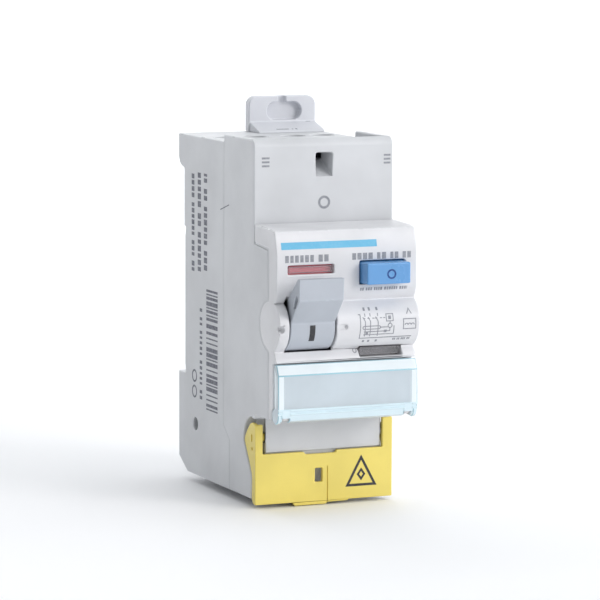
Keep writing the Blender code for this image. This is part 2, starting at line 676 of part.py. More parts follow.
def electronics():
    board = box((2.5, 15.2), (-48.0, -46.8), (-3.5, 15.5))
    piece(board, "relay_board", "green")
    body = rod("X", (-44.8, 2.0), 1.6, (5.0, 12.0), sides=20)
    piece(body, "test_resistor", "brown")
    leaf = [(-48.6, 1.0), (-48.6, 5.0), (-49.2, 8.0), (-49.4, 13.4)]
    piece(plate("YZ", ribbon(leaf, 0.5), (7.6, 10.0)), "test_contact_spring", "brass")


rear_base()
front_housing()
front_cover()
toggle()
toggle_link()
windows_and_flags()
test_button()
label_flap()
terminal_shutter()
din_clip()
contact_carrier()
for side_name, pole_x in (("left", -POLE_X), ("right", POLE_X)):
    pole(side_name, pole_x)
for side_name, terminal_x in (("left", -TERMINAL_X), ("right", TERMINAL_X)):
    terminal(side_name, terminal_x)
pole_barrier()
toroid()
trip_parts()
electronics()
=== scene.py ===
"""Looks of the two-module residual current device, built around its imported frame.

Lengths are millimetres in the part's own axes (X across, Y into the wall, Z up) and MM turns
them into metres. Every new piece is drawn where it sits, so its object stays at the origin.
"""

import json
import math
import random

import bmesh
import bpy
from mathutils import Matrix, Vector


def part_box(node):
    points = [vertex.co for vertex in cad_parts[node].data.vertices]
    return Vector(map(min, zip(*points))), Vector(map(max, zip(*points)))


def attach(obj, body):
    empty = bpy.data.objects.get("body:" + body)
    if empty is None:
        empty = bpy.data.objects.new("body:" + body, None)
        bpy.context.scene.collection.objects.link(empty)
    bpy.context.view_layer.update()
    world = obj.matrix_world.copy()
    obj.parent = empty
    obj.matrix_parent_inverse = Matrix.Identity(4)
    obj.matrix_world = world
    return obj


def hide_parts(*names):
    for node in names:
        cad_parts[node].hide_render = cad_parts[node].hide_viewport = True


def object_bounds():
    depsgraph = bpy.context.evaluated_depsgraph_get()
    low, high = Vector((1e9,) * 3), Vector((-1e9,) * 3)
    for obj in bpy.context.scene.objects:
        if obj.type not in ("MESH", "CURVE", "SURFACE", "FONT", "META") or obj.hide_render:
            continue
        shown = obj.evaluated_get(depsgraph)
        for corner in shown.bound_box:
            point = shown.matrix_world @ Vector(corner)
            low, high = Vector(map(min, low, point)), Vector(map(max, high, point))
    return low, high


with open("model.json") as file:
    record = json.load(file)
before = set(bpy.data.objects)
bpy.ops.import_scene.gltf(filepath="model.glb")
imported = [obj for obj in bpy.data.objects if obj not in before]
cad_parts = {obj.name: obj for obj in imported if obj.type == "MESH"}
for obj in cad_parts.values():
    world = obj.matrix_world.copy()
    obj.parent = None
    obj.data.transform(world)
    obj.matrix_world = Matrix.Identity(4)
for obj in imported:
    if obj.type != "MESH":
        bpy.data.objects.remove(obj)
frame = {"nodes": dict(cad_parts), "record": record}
CAD_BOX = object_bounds()
NODES = frame["nodes"]
MM = 0.001
DICE = random.Random(35)

# ---------------------------------------------------------------- sizes of the case


def reach(node):
    """The node's box in millimetres: ((x, X), (y, Y), (z, Z))."""
    low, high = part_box(node)
    return [(low[i] / MM, high[i] / MM) for i in range(3)]


BASE = reach("rear_base")
HOUSING = reach("front_housing")
TOGGLE = reach("toggle")
BUTTON = reach("test_button")
SHUTTER = reach("terminal_shutter")
FLAP = reach("label_flap")
CLIP = reach("din_clip")
SIDE = BASE[0][0]  # the left side face
HALF = -SIDE
TOP = BASE[2][1]
BOTTOM = HOUSING[2][0]
SHOULDER = -44.0  # front of both shoulders
SEAM = -25.4  # joint of the case halves, above the step
LOW_SEAM = -29.1  # and below it
AXIS = (-53.3, -0.2)  # toggle axis, centre of the barrel bulge
BARREL = 6.2  # radius of the bulge
DRUM = 5.85  # radius of the toggle's drum
FLAP_AXIS = (-56.5, -20.6)
SHUTTER_AXIS = (-42.6, -27.6)
SHUTTER_FACE = -44.8
RAMP_TOP = (1.95, 42.45)  # the clip's ramp, from the tab down to its front edge
RAMP_EDGE = (-3.9, 40.75)
INK = 0.035  # height of a print
TONGUE = 0.06  # how far a joint's tongue lies under the surface
BEYOND = -60.0  # in front of all of the nose


# ---------------------------------------------------------------- mesh tools


def finished(bm, name):
    """A new object at the origin that holds the bmesh, its faces pointing out."""
    bmesh.ops.recalc_face_normals(bm, faces=bm.faces)
    mesh = bpy.data.meshes.new(name)
    bm.to_mesh(mesh)
    bm.free()
    made = bpy.data.objects.new(name, mesh)
    bpy.context.scene.collection.objects.link(made)
    return made


def box(x, y, z, name="tool"):
    bm = bmesh.new()
    bmesh.ops.create_cube(bm, size=1.0)
    size = [(high - low) * MM for low, high in (x, y, z)]
    centre = [(high + low) / 2 * MM for low, high in (x, y, z)]
    bmesh.ops.transform(bm, verts=bm.verts, matrix=Matrix.Translation(centre) @ Matrix.Diagonal((*size, 1.0)))
    return finished(bm, name)


def rod(axis, centre, radius, span, name="tool", end_radius=None, sides=40):
    """A cylinder or cone along X, Y or Z. centre holds the other two coordinates, in axis order."""
    bm = bmesh.new()
    far = radius if end_radius is None else end_radius
    depth = (span[1] - span[0]) * MM
    bmesh.ops.create_cone(
        bm, cap_ends=True, segments=sides, radius1=radius * MM, radius2=far * MM, depth=depth
    )
    middle = (span[0] + span[1]) / 2
    if axis == "X":
        turn = Matrix.Rotation(math.pi / 2, 4, "Y")
        place = (middle, centre[0], centre[1])
    elif axis == "Y":
        turn = Matrix.Rotation(-math.pi / 2, 4, "X")
        place = (centre[0], middle, centre[1])
    else:
        turn = Matrix.Identity(4)
        place = (centre[0], centre[1], middle)
    bmesh.ops.transform(bm, verts=bm.verts, matrix=Matrix.Translation(Vector(place) * MM) @ turn)
    return finished(bm, name)


def plate(plane, points, span, name="tool"):
    """A flat outline in the YZ or XZ plane, as thick as span along the third axis."""
    bm = bmesh.new()
    corners = []
    for u, v in points:
        place = (span[0], u, v) if plane == "YZ" else (u, span[0], v)
        corners.append(bm.verts.new(Vector(place) * MM))
    face = bm.faces.new(corners)
    moved = bmesh.ops.extrude_face_region(bm, geom=[face])["geom"]
    shift = (span[1] - span[0]) * MM
    push = (shift, 0, 0) if plane == "YZ" else (0, shift, 0)
    bmesh.ops.translate(bm, verts=[g for g in moved if isinstance(g, bmesh.types.BMVert)], vec=push)
    return finished(bm, name)


def arc(centre, radius, start, end, steps):
    """Points on a circle, angles in degrees, counted from the first axis to the second."""
    points = []
    for step in range(steps + 1):
        angle = math.radians(start + (end - start) * step / steps)
        points.append((centre[0] + radius * math.cos(angle), centre[1] + radius * math.sin(angle)))
    return points


def round_box(u, v, radius, steps=6):
    """The outline of a rectangle with rounded corners."""
    points = []
    corners = ((u[1], v[1], 0), (u[0], v[1], 90), (u[0], v[0], 180), (u[1], v[0], 270))
    for cu, cv, start in corners:
        centre = (cu - math.copysign(radius, cu - sum(u) / 2), cv - math.copysign(radius, cv - sum(v) / 2))
        points += arc(centre, radius, start, start + 90, steps)
    return points


def tidy(bm):
    """Welds the seams and merges the triangles of each flat face into one."""
    bmesh.ops.remove_doubles(bm, verts=bm.verts, dist=1e-6)
    bmesh.ops.dissolve_degenerate(bm, edges=bm.edges, dist=1e-6)
    bmesh.ops.dissolve_limit(
        bm, angle_limit=math.radians(0.4), verts=bm.verts, edges=bm.edges, use_dissolve_boundaries=False
    )


def bare_mesh(bm, name):
    """The bmesh's shape alone, without the attributes that came with the frame."""
    bm.verts.index_update()
    mesh = bpy.data.meshes.new(name)
    mesh.from_pydata([v.co for v in bm.verts], [], [[v.index for v in f.verts] for f in bm.faces])
    bm.free()
    return mesh


def copy_of(node, name):
    """A new object with the shape of a frame node."""
    bm = bmesh.new()
    bm.from_mesh(NODES[node].data)
    tidy(bm)
    made = bpy.data.objects.new(name, bare_mesh(bm, name))
    bpy.context.scene.collection.objects.link(made)
    return made


def combine(target, tools, operation):
    """Applies Boolean tools to the target, then removes them."""
    for tool in tools:
        modifier = target.modifiers.new("shape", "BOOLEAN")
        modifier.operation = operation
        modifier.solver = "EXACT"
        modifier.object = tool
    bpy.context.view_layer.update()
    mesh = bpy.data.meshes.new_from_object(target.evaluated_get(bpy.context.evaluated_depsgraph_get()))
    target.modifiers.clear()
    bm = bmesh.new()
    bm.from_mesh(mesh)
    tidy(bm)
    bpy.data.meshes.remove(mesh)
    target.data = bare_mesh(bm, target.name)
    for tool in tools:
        bpy.data.objects.remove(tool, do_unlink=True)


def carve(target, *tools):
    combine(target, tools, "DIFFERENCE")


def fuse(target, *tools):
    combine(target, tools, "UNION")


def cut_across(bm, place, normal):
    """Adds an edge where a plane through the place meets the surface."""
    geom = bm.verts[:] + bm.edges[:] + bm.faces[:]
    bmesh.ops.bisect_plane(bm, geom=geom, plane_co=Vector(place) * MM, plane_no=normal)


def ridge_room(edge, vertex, ridges):
    """How much of the edge a unit bevel takes away at this end."""
    along = (edge.other_vert(vertex).co - vertex.co).normalized()
    most = 0.0
    for other in vertex.link_edges:
        if other is edge or other not in ridges:
            continue
        away = (other.other_vert(vertex).co - vertex.co).normalized()
        turn = math.pi - along.angle(away, 0.0)
        most = max(most, math.tan(min(turn, math.pi / 2) / 2))
    return most


def face_depth(face, edge):
    """How far the face reaches from one of its edges."""
    start = edge.verts[0].co
    along = (edge.verts[1].co - start).normalized()
    return max((v.co - start - along * (v.co - start).dot(along)).length for v in face.verts)


def on_joint(edge):
    """Whether the edge lies along the joint between the two case halves."""
    middle = (edge.verts[0].co + edge.verts[1].co) / 2 / MM
    upper = abs(middle.y - SEAM) < 0.3 and middle.z > -27.5
    lower = abs(middle.y - LOW_SEAM) < 0.3 and middle.z < -29.5
    slant = -30.6 < middle.z < -26.2 and LOW_SEAM - 0.4 < middle.y < SEAM + 0.4
    return upper or lower or slant


def at_nose_foot(edge):
    """Whether the edge lies at the lower end of the nose's side walls."""
    spots = [v.co / MM for v in edge.verts]
    return all(abs(spot.x) > HALF - 1.2 and spot.y < -51.5 and spot.z < -21.0 for spot in spots)


def rounded(target, width, segments=2, angle=25.0, keep=None):
    """Rounds every ridge that has room for it, and leaves the others sharp."""
    bm = bmesh.new()
    bm.from_mesh(target.data)
    weights = bm.edges.layers.float.new("bevel_weight_edge")
    ridges = {e for e in bm.edges if e.is_manifold and e.calc_face_angle(0.0) > math.radians(angle)}
    radius = width * MM
    for face in bm.faces:
        face.smooth = True
    for edge in ridges:
        taken = sum(ridge_room(edge, v, ridges) for v in edge.verts) * radius
        wide = min(face_depth(f, edge) for f in edge.link_faces) > 2.1 * radius
        if edge.calc_length() > 1.1 * taken and wide and not (keep and keep(edge)):
            edge[weights] = 1.0
        else:
            edge.smooth = False
    bm.to_mesh(target.data)
    bm.free()
    bevel = target.modifiers.new("rounded ridges", "BEVEL")
    bevel.limit_method = "WEIGHT"
    bevel.width = radius
    bevel.segments = segments
    bevel.use_clamp_overlap = False
    # the ridges take the piece's second material; on moulded pieces it is lighter in colour, a painted edge
    # highlight
    bevel.material = 1
    bevel.miter_outer = "MITER_ARC"
    normals = target.modifiers.new("flat faces stay flat", "WEIGHTED_NORMAL")
    normals.keep_sharp = True
    normals.weight = 100


# ---------------------------------------------------------------- material tools


class Look:
    """A Principled material driven by noise on the piece's own coordinates."""

    def __init__(self, name):
        self.material = bpy.data.materials.new(name)
        self.material.use_nodes = True
        self.tree = self.material.node_tree
        self.shader = self.tree.nodes["Principled BSDF"]
        self.place = self.tree.nodes.new("ShaderNodeTexCoord").outputs["Object"]
        self.normal = None

    def set(self, **values):
        for key, value in values.items():
            self.shader.inputs[key.replace("_", " ")].default_value = value
        return self

    def stretched(self, scale):
        mapping = self.tree.nodes.new("ShaderNodeMapping")
        mapping.inputs["Scale"].default_value = scale
        self.tree.links.new(self.place, mapping.inputs["Vector"])
        return mapping.outputs["Vector"]

    def noise(self, scale, detail=2.0, stretch=None):
        node = self.tree.nodes.new("ShaderNodeTexNoise")
        node.inputs["Scale"].default_value = scale
        node.inputs["Detail"].default_value = detail
        self.tree.links.new(self.place if stretch is None else self.stretched(stretch), node.inputs["Vector"])
        return node.outputs["Fac"]

    def cells(self, scale):
        node = self.tree.nodes.new("ShaderNodeTexVoronoi")
        node.inputs["Scale"].default_value = scale
        self.tree.links.new(self.place, node.inputs["Vector"])
        return node.outputs["Distance"]

    def waves(self, scale, axis="Z", warp=0.0):
        node = self.tree.nodes.new("ShaderNodeTexWave")
        node.bands_direction = axis
        node.inputs["Scale"].default_value = scale
        node.inputs["Distortion"].default_value = warp
        self.tree.links.new(self.place, node.inputs["Vector"])
        return node.outputs["Fac"]

    def span(self, value, low, high, start=0.35, end=0.65):
        node = self.tree.nodes.new("ShaderNodeMapRange")
        node.inputs["From Min"].default_value = start
        node.inputs["From Max"].default_value = end
        node.inputs["To Min"].default_value = low
        node.inputs["To Max"].default_value = high
        self.tree.links.new(value, node.inputs["Value"])
        return node.outputs["Result"]

    def mix(self, factor, first, second):
        node = self.tree.nodes.new("ShaderNodeMix")
        node.data_type = "RGBA"
        self.tree.links.new(factor, node.inputs[0])
        for socket, colour in ((node.inputs[6], first), (node.inputs[7], second)):
            if isinstance(colour, tuple):
                socket.default_value = (*colour, 1.0)
            else:
                self.tree.links.new(colour, socket)
        return node.outputs[2]

    def drive(self, socket, value):
        self.tree.links.new(value, self.shader.inputs[socket])
        return self

    def relief(self, height, distance, strength=1.0):
        """Adds a bump of this many millimetres on top of the ones before it."""
        node = self.tree.nodes.new("ShaderNodeBump")
        node.inputs["Distance"].default_value = distance * MM
        node.inputs["Strength"].default_value = strength
        self.tree.links.new(height, node.inputs["Height"])
        if self.normal is not None:
            self.tree.links.new(self.normal, node.inputs["Normal"])
        self.normal = node.outputs["Normal"]
        self.tree.links.new(self.normal, self.shader.inputs["Normal"])
        return self


def shade(colour, factor):
    return tuple(min(c * factor, 1.0) for c in colour)


def moulded(name, colour, roughness=0.42, grain=0.006, variation=0.05, worn_and_highlit=False):
    """Moulded plastic: faint flow marks in the colour, spark-eroded grain, uneven gloss."""
    look = Look(name)
    # the ridge look is lighter in colour, a painted edge highlight; its lower roughness and finer grain stand
    # for polish from handling
    base = shade(colour, 1.06 if worn_and_highlit else 1.0)
    clouds = look.span(look.noise(70, 3), 0, 1)
    flow = look.mix(clouds, shade(base, 1 - variation), shade(base, 1 + variation))
    specks = look.span(look.noise(6500, 1), 0, 1, 0.62, 0.78)
    look.drive("Base Color", look.mix(specks, flow, shade(base, 0.93)))
    gloss = roughness - (0.1 if worn_and_highlit else 0.0)
    look.drive("Roughness", look.span(look.noise(160, 4), gloss - 0.06, gloss + 0.07))
    look.relief(look.noise(110, 1), 0.02, 0.5)
    look.relief(look.noise(5200, 3), grain * (0.4 if worn_and_highlit else 1.0), 0.6)
    return look.set(Specular_IOR_Level=0.45, IOR=1.5).material


def clear_plastic(name, colour, opacity, rim_opacity, roughness=0.08):
    """Clear moulding that is denser where it is seen along its surface."""
    look = Look(name)
    layer = look.tree.nodes.new("ShaderNodeLayerWeight")
    layer.inputs["Blend"].default_value = 0.35
    haze = look.span(look.noise(140, 3), 0, 1)
    look.drive("Base Color", look.mix(haze, shade(colour, 0.97), shade(colour, 1.03)))
    look.drive("Alpha", look.span(layer.outputs["Facing"], opacity, rim_opacity, 0.0, 0.9))
    look.drive("Roughness", look.span(look.noise(300, 4), roughness, roughness + 0.08))
    look.relief(look.noise(90, 2), 0.03, 0.4)
    look.relief(look.noise(1500, 2), 0.002, 0.4)
    return look.set(IOR=1.49, Specular_IOR_Level=0.6).material


def metal(name, colour, roughness=0.28, brushed=(1, 30, 30), tarnish=0.75):
    look = Look(name)
    cloud = look.span(look.noise(220, 4), 0, 1)
    look.drive("Base Color", look.mix(cloud, colour, shade(colour, tarnish)))
    look.drive("Roughness", look.span(look.noise(500, 3, brushed), roughness - 0.08, roughness + 0.12))
    look.relief(look.noise(900, 2, brushed), 0.004, 0.7)
    look.relief(look.noise(300, 3), 0.01, 0.4)
    return look.set(Metallic=1.0).material


def wound(name, colour):
    """Enamelled wire laid side by side."""
    look = Look(name)
    turns = look.waves(900, "X", 1.5)
    look.drive("Base Color", look.mix(look.span(turns, 0, 1, 0.1, 0.9), shade(colour, 0.45), colour))
    look.drive("Roughness", look.span(look.noise(400, 2), 0.22, 0.4))
    look.relief(turns, 0.08, 0.8)
    return look.material


def sintered(name, colour):
    look = Look(name)
    grains = look.span(look.noise(1800, 3), 0, 1)
    look.drive("Base Color", look.mix(grains, shade(colour, 0.6), shade(colour, 1.6)))
    look.drive("Roughness", look.span(look.noise(700, 3), 0.5, 0.75))
    look.relief(look.cells(1400), 0.03, 0.5)
    return look.material


def circuit_board(name, colour):
    look = Look(name)
    tracks = look.span(look.waves(160, "Z", 3.0), 0, 1, 0.46, 0.54)
    weave = look.span(look.noise(900, 2), 0, 1)
    laminate = look.mix(weave, colour, shade(colour, 1.5))
    look.drive("Base Color", look.mix(tracks, laminate, shade(colour, 2.4)))
    look.drive("Roughness", look.span(look.noise(350, 3), 0.25, 0.45))
    look.relief(tracks, 0.035, 0.7)
    return look.material


def ink(name, colour, paper):
    """Pad print: rubbed thin in places, so that some of the paper's colour comes through."""
    look = Look(name)
    thin = look.span(look.noise(1900, 3), 0.0, 0.22, 0.42, 0.72)
    look.drive("Base Color", look.mix(thin, colour, paper))
    look.drive("Roughness", look.span(look.noise(800, 2), 0.45, 0.65))
    look.relief(look.noise(2200, 2), 0.004, 0.6)
    return look.material


GREY = (0.61, 0.62, 0.64)
PALE = (0.69, 0.69, 0.71)
TOGGLE_GREY = (0.45, 0.48, 0.53)
BLUE = (0.13, 0.33, 0.64)
YELLOW = (0.82, 0.67, 0.16)
WHITE = (0.66, 0.67, 0.71)



def moulded_pair(name, colour, roughness=0.42, grain=0.006):
    """A plastic and its look on the ridges, where handling has polished it and the colour is painted lighter
    as an edge highlight.
    """
    plain = moulded(name, colour, roughness, grain)
    return plain, moulded(name + ", worn ridge", colour, roughness, worn_and_highlit=True)


SHELL = moulded_pair("shell plastic", GREY)
FASCIA = moulded_pair("fascia plastic", PALE, 0.36)
LEVER = moulded_pair("toggle plastic", TOGGLE_GREY)
KEY = moulded_pair("button plastic", BLUE, 0.3, 0.003)
LID = moulded_pair("shutter plastic", YELLOW, 0.36)
TAB = moulded_pair("clip plastic", WHITE, 0.4)
DARK = moulded("dark plastic", (0.05, 0.05, 0.055), 0.5)
RED_FLAG = moulded("red flag", (0.90, 0.20, 0.25), 0.45)
GREEN_FLAG = moulded("green flag", (0.03, 0.30, 0.11), 0.45)
GREY_FLAG = moulded("grey flag", (0.24, 0.23, 0.25), 0.45)
AMBER_FLAG = moulded("amber flag", (0.80, 0.42, 0.03), 0.45)
CLEAR = clear_plastic("clear flap", (0.80, 0.89, 0.95), 0.5, 0.85)
CLEAR_RIDGE = clear_plastic("clear flap, ridge", (0.45, 0.78, 0.90), 0.55, 0.9, 0.05)
HINGE_BAND = clear_plastic("clear flap, hinge band", (0.70, 0.84, 0.90), 0.96, 1.0, 0.1)
PAINTED_HIGHLIGHT_BAND = clear_plastic("painted highlight band", (0.86, 0.93, 0.96), 0.85, 1.0, 0.3)
LENS = clear_plastic("window lens", (0.60, 0.60, 0.62), 0.12, 0.5, 0.06)
LENS_RIDGE = clear_plastic("window lens, ridge", (0.35, 0.34, 0.36), 0.5, 0.9, 0.06)
GREY_INK = ink("grey print", (0.26, 0.27, 0.30), PALE)
SIDE_INK = ink("side print", (0.10, 0.105, 0.14), GREY)
CYAN_INK = ink("cyan print", (0.13, 0.46, 0.69), (0.25, 0.55, 0.72))
BLACK_INK = ink("black print", (0.03, 0.03, 0.035), (0.12, 0.11, 0.10))
NAVY_INK = ink("navy print", (0.01, 0.05, 0.22), BLUE)

SLOT_LOOKS = {
    "shell": SHELL[0],
    "cover": FASCIA[0],
    "toggle": LEVER[0],
    "blue": KEY[0],
    "yellow": LID[0],
    "white": TAB[0],
    "red": RED_FLAG,
    "dark": DARK,
    "clear": LENS,
    "green": circuit_board("circuit board", (0.02, 0.13, 0.06)),
    "brown": wound("enamelled winding", (0.42, 0.17, 0.06)),
    "copper": metal("bare copper", (0.83, 0.40, 0.22), 0.3),
    "brass": metal("brass", (0.80, 0.60, 0.27), 0.26),
    "steel": metal("zinc plated steel", (0.62, 0.63, 0.66), 0.27),
    "ferrite": sintered("sintered core", (0.07, 0.07, 0.08)),
}


def dress_frame():
    """Gives every frame node its slot's procedural material."""
    for part in frame["record"]["subparts"]:
        data = NODES[part["node"]].data
        data.materials.clear()
        data.materials.append(SLOT_LOOKS[part["material_slot"]])


def place(piece, looks, slot, body="root", node=None):
    """Dresses a finished piece, and ties it to its body and the node that it stands for."""
    for look in looks:
        piece.data.materials.append(look)
    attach(piece, body)
    if node is not None:
        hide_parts(node)
    return piece


# ---------------------------------------------------------------- case


def seam_tongue():
    """The tongue behind the joint of the two case halves, a little under the surface."""
    low = BOTTOM + TONGUE
    high = TOP - TONGUE
    outline = [(SEAM - 1.0, high), (SEAM + 0.8, high), (SEAM + 0.8, -26.7), (LOW_SEAM + 0.8, -30.0)]
    outline += [(LOW_SEAM + 0.8, low), (LOW_SEAM - 1.0, low), (LOW_SEAM - 1.0, -30.5), (SEAM - 1.0, -27.2)]
    tongue = plate("YZ", outline, (SIDE + TONGUE, HALF - TONGUE))
    carve(tongue, box((SIDE + 0.9, HALF - 0.9), (-40, -20), (low + 0.8, high - 0.8)))
    return tongue


def nose_tongue(span):
    """The tongue behind the joint of the fascia and the nose, on one side."""
    outline = [(-53.6, -21.6), (-51.9, -21.6)] + arc(AXIS, 6.4, -75, 75, 16)
    outline += [(-51.9, 16.4), (-44.8, 17.3), (-44.8, 18.6), (-53.6, 18.2)]
    return plate("YZ", outline, span)


def rear_base():
    """The rear half, with the tongue that lies behind the joint."""
    base = copy_of("rear_base", "rear_base_shell")
    fuse(base, seam_tongue())
    rounded(base, 0.3, keep=on_joint)
    place(base, SHELL, "shell", node="rear_base")


def front_housing():
    """The front half, with the release chute and the recess behind the shutter's window."""
    housing = copy_of("front_housing", "front_housing_shell")
    fuse(housing, nose_tongue((SIDE + TONGUE, SIDE + 0.9)), nose_tongue((HALF - 0.9, HALF - TONGUE)))
    # Rising floor of the release chute, and the opening in its side wall
    floor = [(-43.7, 32.7), (-37.0, 36.1), (-33.3, 36.1), (-33.3, 32.0), (-43.7, 32.0)]
    fuse(housing, plate("YZ", floor, (-2.2, 2.25)))
    carve(housing, box((1.9, 3.7), (-37.0, -32.6), (36.15, 38.3)))
    # Recess that the shutter's catch window looks into
    carve(housing, box((-2.6, -0.1), (-44.5, -42.1), (-38.9, -35.0)))
    rounded(housing, 0.4, 3, keep=lambda edge: on_joint(edge) or at_nose_foot(edge))
    place(housing, SHELL, "shell", node="front_housing")


def front_cover():
    """The fascia with the barrel bulge, its slot's lip, dimples and joint line."""
    cover = copy_of("front_cover", "front_cover_shell")
    # Lip that closes the slot's upper end behind the lever
    lip = [(-57.3, 7.2), (-57.3, 7.0), (-55.9, 5.6), (-54.9, 5.9), (-54.9, 7.2)]
    fuse(cover, plate("YZ", lip, (-15.05, -3.15)))
    # A filled and a newly cut dimple on each side of the toggle, with a groove to the right one
    barrel = arc(AXIS, BARREL - 0.02, 140, 220, 40) + [AXIS]
    for filled, dimple, radius, floor in ((-16.2, -17.15, 1.15, -57.9), (0.8, -1.1, 0.8, -58.75)):
        plug = rod("Y", (filled, -0.5), 0.93, (BEYOND, -58.3), sides=32)
        combine(plug, (plate("YZ", barrel, (filled - 1.2, filled + 1.2)),), "INTERSECT")
        fuse(cover, plug)
        carve(cover, rod("Y", (dimple, -0.4), radius, (BEYOND, floor), end_radius=radius / 3, sides=32))
    carve(cover, plate("XZ", round_box((-3.5, -0.6), (-1.1, 0.25), 0.6), (BEYOND, -59.2)))
    # Joint line between the flat face and the bearing, left of the slot
    carve(cover, box((SIDE - 0.1, -15.7), (-57.0, -56.0), (5.1, 5.4)))
    rounded(cover, 0.35, 3)
    place(cover, FASCIA, "cover", node="front_cover")


# ---------------------------------------------------------------- front pieces


def toggle():
    """The lever with its sloped top and a slit along the front edge of each flank."""
    lever = copy_of("toggle", "toggle_lever")
    above = [(-70, 11.0), (-62.0, 11.55), (-62.0, 13), (-70, 13)]
    carve(lever, plate("YZ", above, (-20, 5)))
    slit = [(-61.9, 7.7), (-62.75, 7.0), (-61.4, 4.5), (-60.2, 4.4), (-60.8, 6.0)]
    deep = 2.4
    left, right = TOGGLE[0]
    carve(lever, plate("YZ", slit, (left - 1, left + deep)), plate("YZ", slit, (right - deep, right + 1)))
    rounded(lever, 0.3, 3)
    place(lever, LEVER, "toggle", "toggle_body", "toggle")


def test_button():
    key = copy_of("test_button", "test_button_cap")
    rounded(key, 0.35, 3)
    place(key, KEY, "blue", "test_button_body", "test_button")


def banded(piece, height, material_index):
    """Splits the piece at a height and gives all that lies below another material."""
    bm = bmesh.new()
    bm.from_mesh(piece.data)
    cut_across(bm, (0, 0, height), (0, 0, 1))
    for face in bm.faces:
        if face.calc_center_median().z < height * MM:
            face.material_index = material_index
    bm.to_mesh(piece.data)
    bm.free()


def windows_and_flags():
    """The two clear windows and the two-tone flags that slide behind them."""
    for node in ("contact_window_lens", "fault_window_lens"):
        lens = copy_of(node, node + "_moulding")
        rounded(lens, 0.15)
        place(lens, (LENS, LENS_RIDGE), "clear", node=node)
    flag = copy_of("contact_flag", "contact_flag_two_tone")
    # Thicker, so that it shows close behind the window
    fuse(flag, box((-14.8, -3.2), (-55.8, -54.2), (8.85, 14.0)))
    banded(flag, 11.3, 1)
    place(flag, (RED_FLAG, GREEN_FLAG), "red", "contact_flag_body", "contact_flag")
    flag = copy_of("fault_flag", "fault_flag_two_tone")
    banded(flag, -8.2, 1)
    place(flag, (GREY_FLAG, AMBER_FLAG), "green", "fault_flag_body", "fault_flag")


def mirrored(side, low, high):
    """The span low…high on the side of the middle plane that side (-1 or 1) stands for."""
    return tuple(sorted((side * low, side * high)))


def label_flap():
    """The clear flap: upper band painted pale as a highlight, ribbed hinge band, end walls, knuckles and
    pins.
    """
    chamfer, band = -11.2, -18.7  # lower end of the band painted as a highlight, upper end of the hinge band
    outline = [(-56.0, -8.9), (-57.3, -8.7), (-58.5, -11.1), (-58.5, -18.8), (-58.68, -18.9)]
    outline += [(-58.68, -19.2), (-58.4, -19.35), (-58.28, -19.8), (-58.5, -19.9), (-58.48, -20.15)]
    outline += [(-58.2, -20.3), (-58.0, -20.8)] + arc(FLAP_AXIS, 1.55, 215, 300, 10)
    outline += [(-56.0, -21.2), (-56.8, -19.6), (-57.3, -18.5), (-57.3, -11.4), (-56.1, -9.3)]
    left, right = FLAP[0]
    flap = plate("YZ", outline, (left, right), "label_flap_moulding")
    wall = [(-55.75, -9.4), (-57.2, -9.0), (-58.3, -11.2), (-58.3, -18.7), (-57.8, -20.3), (-55.9, -20.3)]
    guard = [(-58.45, -18.6), (-58.05, -18.6), (-57.95, -20.9), (-58.25, -20.9)]
    for side in (-1, 1):
        carve(flap, box(mirrored(side, 14.3, 16.2), (-59.0, -55.0), (-23.0, -19.0)))
        fuse(flap, plate("YZ", wall, mirrored(side, right - 1.1, right - 0.1)))
        fuse(flap, rod("X", FLAP_AXIS, 1.8, mirrored(side, 16.5, right - 0.05), sides=32))
        fuse(flap, rod("X", FLAP_AXIS, 1.2, mirrored(side, 13.1, 14.2), sides=24))
        fuse(flap, rod("X", FLAP_AXIS, 0.65, mirrored(side, 13.6, 16.8), sides=20))
        fuse(flap, plate("YZ", guard, mirrored(side, 14.2, 16.3)))
    bm = bmesh.new()
    bm.from_mesh(flap.data)
    end = right - 1.4
    for x in (-end, end):
        cut_across(bm, (x, 0, 0), (1, 0, 0))
    bm.to_mesh(flap.data)
    bm.free()
    # The chamfer faces that look up and forward, and the end walls above the hinge band, take a pale, nearly
    # opaque look: a painted highlight.
    for face in flap.data.polygons:
        centre = face.center / MM
        at_end = abs(centre.x) > end and centre.z > band
        slanted = face.normal.y < -0.5 and face.normal.z > 0.3 and centre.z > chamfer
        if at_end or slanted:
            face.material_index = 2
        elif centre.y < -57.6 and centre.z < band:
            face.material_index = 3
    rounded(flap, 0.18)
    place(flap, (CLEAR, CLEAR_RIDGE, PAINTED_HIGHLIGHT_BAND, HINGE_BAND), "clear", "flap_body", "label_flap")


